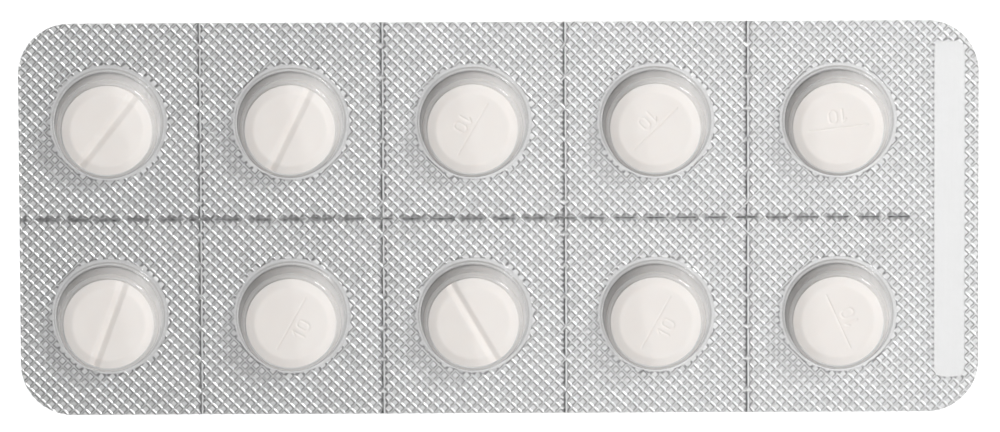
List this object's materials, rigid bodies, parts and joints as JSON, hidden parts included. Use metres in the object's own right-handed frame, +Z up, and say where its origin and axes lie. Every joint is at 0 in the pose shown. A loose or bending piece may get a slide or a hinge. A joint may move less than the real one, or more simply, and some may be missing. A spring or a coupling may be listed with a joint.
{
  "type": "pill blister pack",
  "caption": "Flat blister pack: round scored tablets in clear formed pockets over a foil backing, with perforated tear lines and a plain coding strip.",
  "frame": {"origin": "middle of the pack's outline on the underside of the foil, the face that it lies on", "axes": "+X along the pack towards the end with the coding strip, +Y across it towards the row of tablet_1 to tablet_5, +Z up, the side that the pockets stand on"},
  "size_m": [0.096, 0.04, 0.0036],
  "materials": {
    "clear_film": "glossy clear film",
    "foil": "bright, pressed with a fine knurl",
    "tablet": "matte pressed powder"
  },
  "bodies": {
    "root": {"blister_film": "clear_film", "lidding_foil": "foil", "tablet_1": "tablet", "tablet_2": "tablet", "tablet_3": "tablet", "tablet_4": "tablet", "tablet_5": "tablet", "tablet_6": "tablet", "tablet_7": "tablet", "tablet_8": "tablet", "tablet_9": "tablet", "tablet_10": "tablet"}
  },
  "joints": []
}
